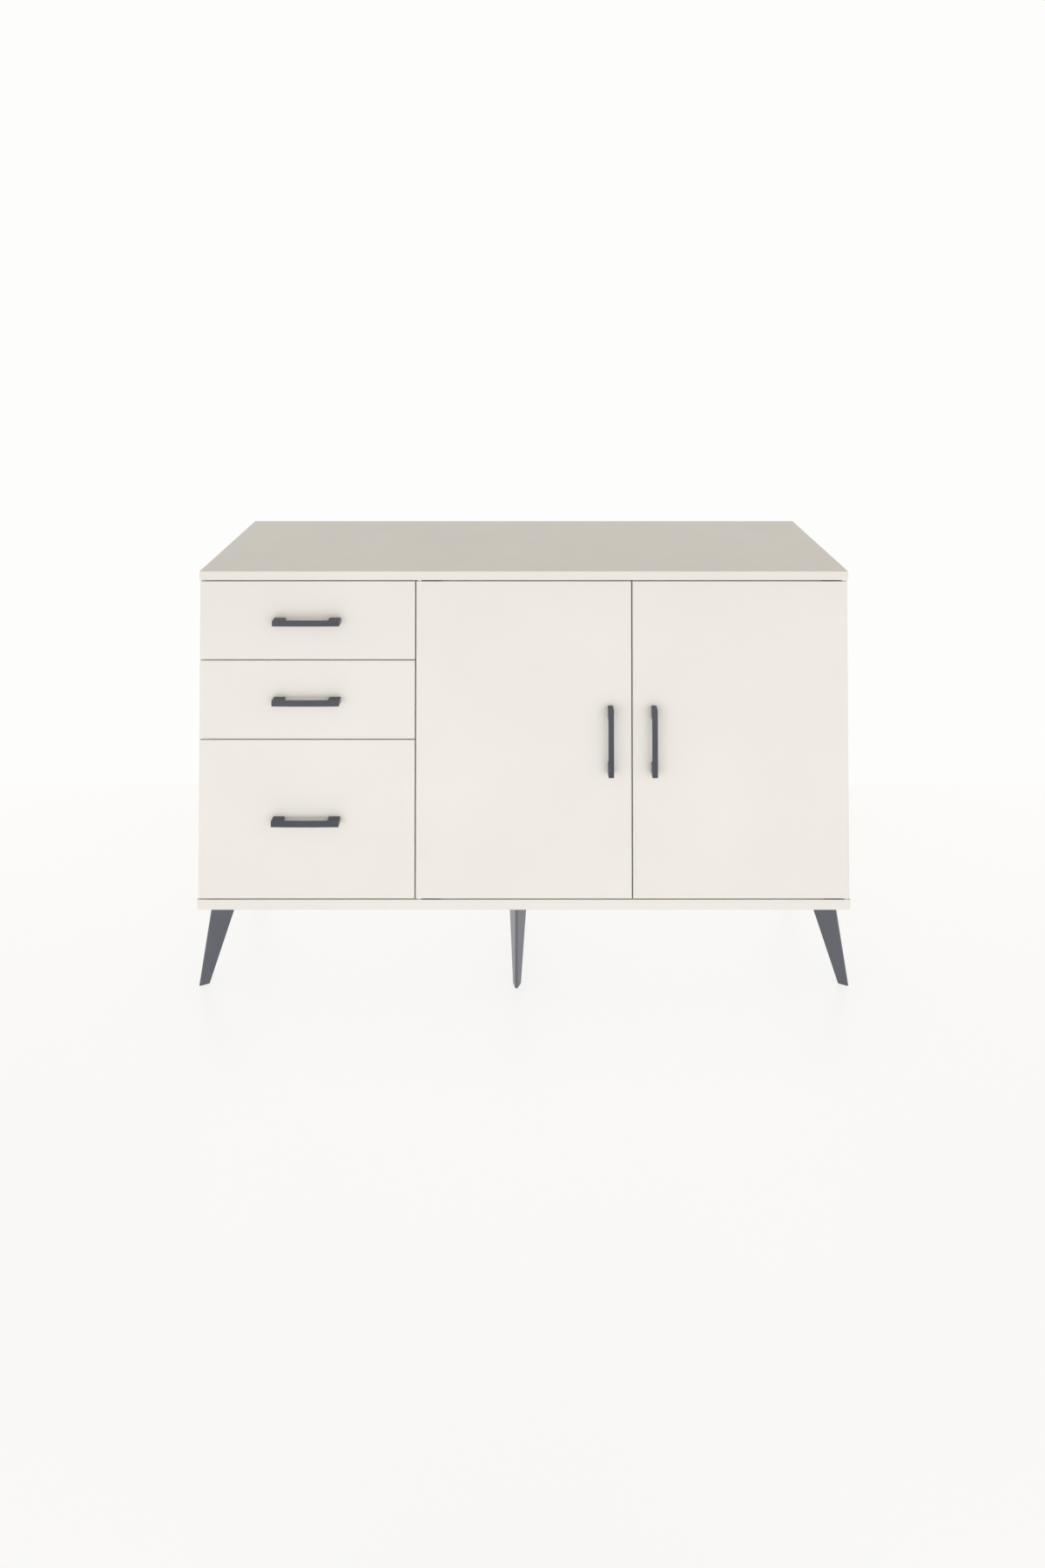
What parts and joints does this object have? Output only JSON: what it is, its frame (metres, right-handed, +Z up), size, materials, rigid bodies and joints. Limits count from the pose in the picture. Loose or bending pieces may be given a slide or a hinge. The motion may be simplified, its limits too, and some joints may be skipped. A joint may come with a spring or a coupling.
{
  "type": "sideboard buffet",
  "caption": "Low sideboard with a stack of drawers beside a pair of hinged doors, bar handles, on splayed tapered sheet-metal legs.",
  "frame": {"origin": "centre of the bounding box of the closed sideboard, on the floor under the feet", "axes": "+X to the right seen from the front, +Y to the back, +Z up; drawers and doors face -Y"},
  "size_m": [1.2026, 0.42, 0.767],
  "materials": {
    "cream_board": "warm off-white satin melamine on particle board",
    "hdf_board": "thin fibreboard, off-white face",
    "beech_dowel": "fluted beech",
    "anthracite_metal": "fine matt anthracite powder coat",
    "zinc_steel": "bright zinc plate",
    "white_plastic": "moulded, off-white"
  },
  "bodies": {
    "cabinet": {"assembly_screws": "zinc_steel", "back_panel": "hdf_board", "bottom_panel": "cream_board", "cabinet_pivots": "zinc_steel", "cam_fittings": "zinc_steel", "centre_divider": "cream_board", "front_left_leg": "anthracite_metal", "front_middle_leg": "anthracite_metal", "front_right_leg": "anthracite_metal", "hardware_screws": "zinc_steel", "left_side_panel": "cream_board", "leg_screws": "zinc_steel", "magnet_catches": "white_plastic", "pivot_washers": "white_plastic", "rear_left_leg": "anthracite_metal", "rear_middle_leg": "anthracite_metal", "rear_right_leg": "anthracite_metal", "right_side_panel": "cream_board", "runner_outer_rails": "zinc_steel", "shelf": "cream_board", "shelf_pins": "zinc_steel", "top_panel": "cream_board", "wood_dowels": "beech_dowel"},
    "top_drawer": {"top_drawer_back": "cream_board", "top_drawer_bottom": "hdf_board", "top_drawer_fasteners": "zinc_steel", "top_drawer_front": "cream_board", "top_drawer_handle": "anthracite_metal", "top_drawer_inner_rails": "zinc_steel", "top_drawer_left_side": "cream_board", "top_drawer_right_side": "cream_board"},
    "top_drawer_rail": {"top_drawer_middle_rails": "zinc_steel"},
    "middle_drawer": {"middle_drawer_back": "cream_board", "middle_drawer_bottom": "hdf_board", "middle_drawer_fasteners": "zinc_steel", "middle_drawer_front": "cream_board", "middle_drawer_handle": "anthracite_metal", "middle_drawer_inner_rails": "zinc_steel", "middle_drawer_left_side": "cream_board", "middle_drawer_right_side": "cream_board"},
    "middle_drawer_rail": {"middle_drawer_middle_rails": "zinc_steel"},
    "bottom_drawer": {"bottom_drawer_back": "cream_board", "bottom_drawer_bottom": "hdf_board", "bottom_drawer_fasteners": "zinc_steel", "bottom_drawer_front": "cream_board", "bottom_drawer_handle": "anthracite_metal", "bottom_drawer_inner_rails": "zinc_steel", "bottom_drawer_left_side": "cream_board", "bottom_drawer_right_side": "cream_board"},
    "bottom_drawer_rail": {"bottom_drawer_middle_rails": "zinc_steel"},
    "left_door": {"left_door_handle": "anthracite_metal", "left_door_panel": "cream_board", "left_door_pivot_plates": "zinc_steel", "left_door_screws": "zinc_steel", "left_door_strike_plate": "zinc_steel"},
    "right_door": {"right_door_handle": "anthracite_metal", "right_door_panel": "cream_board", "right_door_pivot_plates": "zinc_steel", "right_door_screws": "zinc_steel", "right_door_strike_plate": "zinc_steel"}
  },
  "joints": [
    {"name": "top_drawer_slide", "type": "slide", "parent": "cabinet", "child": "top_drawer", "axis": [0, -1, 0], "range_m": [0, 0.3]},
    {"name": "top_rail_slide", "type": "slide", "parent": "cabinet", "child": "top_drawer_rail", "axis": [0, -1, 0], "range_m": [0, 0.15]},
    {"name": "middle_drawer_slide", "type": "slide", "parent": "cabinet", "child": "middle_drawer", "axis": [0, -1, 0], "range_m": [0, 0.3]},
    {"name": "middle_rail_slide", "type": "slide", "parent": "cabinet", "child": "middle_drawer_rail", "axis": [0, -1, 0], "range_m": [0, 0.15]},
    {"name": "bottom_drawer_slide", "type": "slide", "parent": "cabinet", "child": "bottom_drawer", "axis": [0, -1, 0], "range_m": [0, 0.3]},
    {"name": "bottom_rail_slide", "type": "slide", "parent": "cabinet", "child": "bottom_drawer_rail", "axis": [0, -1, 0], "range_m": [0, 0.15]},
    {"name": "left_door_hinge", "type": "hinge", "parent": "cabinet", "child": "left_door", "pos_m": [-0.1925, -0.185, 0.4595], "axis": [0, 0, -1], "range_deg": [0, 90]},
    {"name": "right_door_hinge", "type": "hinge", "parent": "cabinet", "child": "right_door", "pos_m": [0.592, -0.185, 0.4595], "axis": [0, 0, 1], "range_deg": [0, 90]}
  ],
  "couplings": [
    {"joint": "top_rail_slide", "follows": "top_drawer_slide", "ratio": 0.5},
    {"joint": "middle_rail_slide", "follows": "middle_drawer_slide", "ratio": 0.5},
    {"joint": "bottom_rail_slide", "follows": "bottom_drawer_slide", "ratio": 0.5}
  ]
}
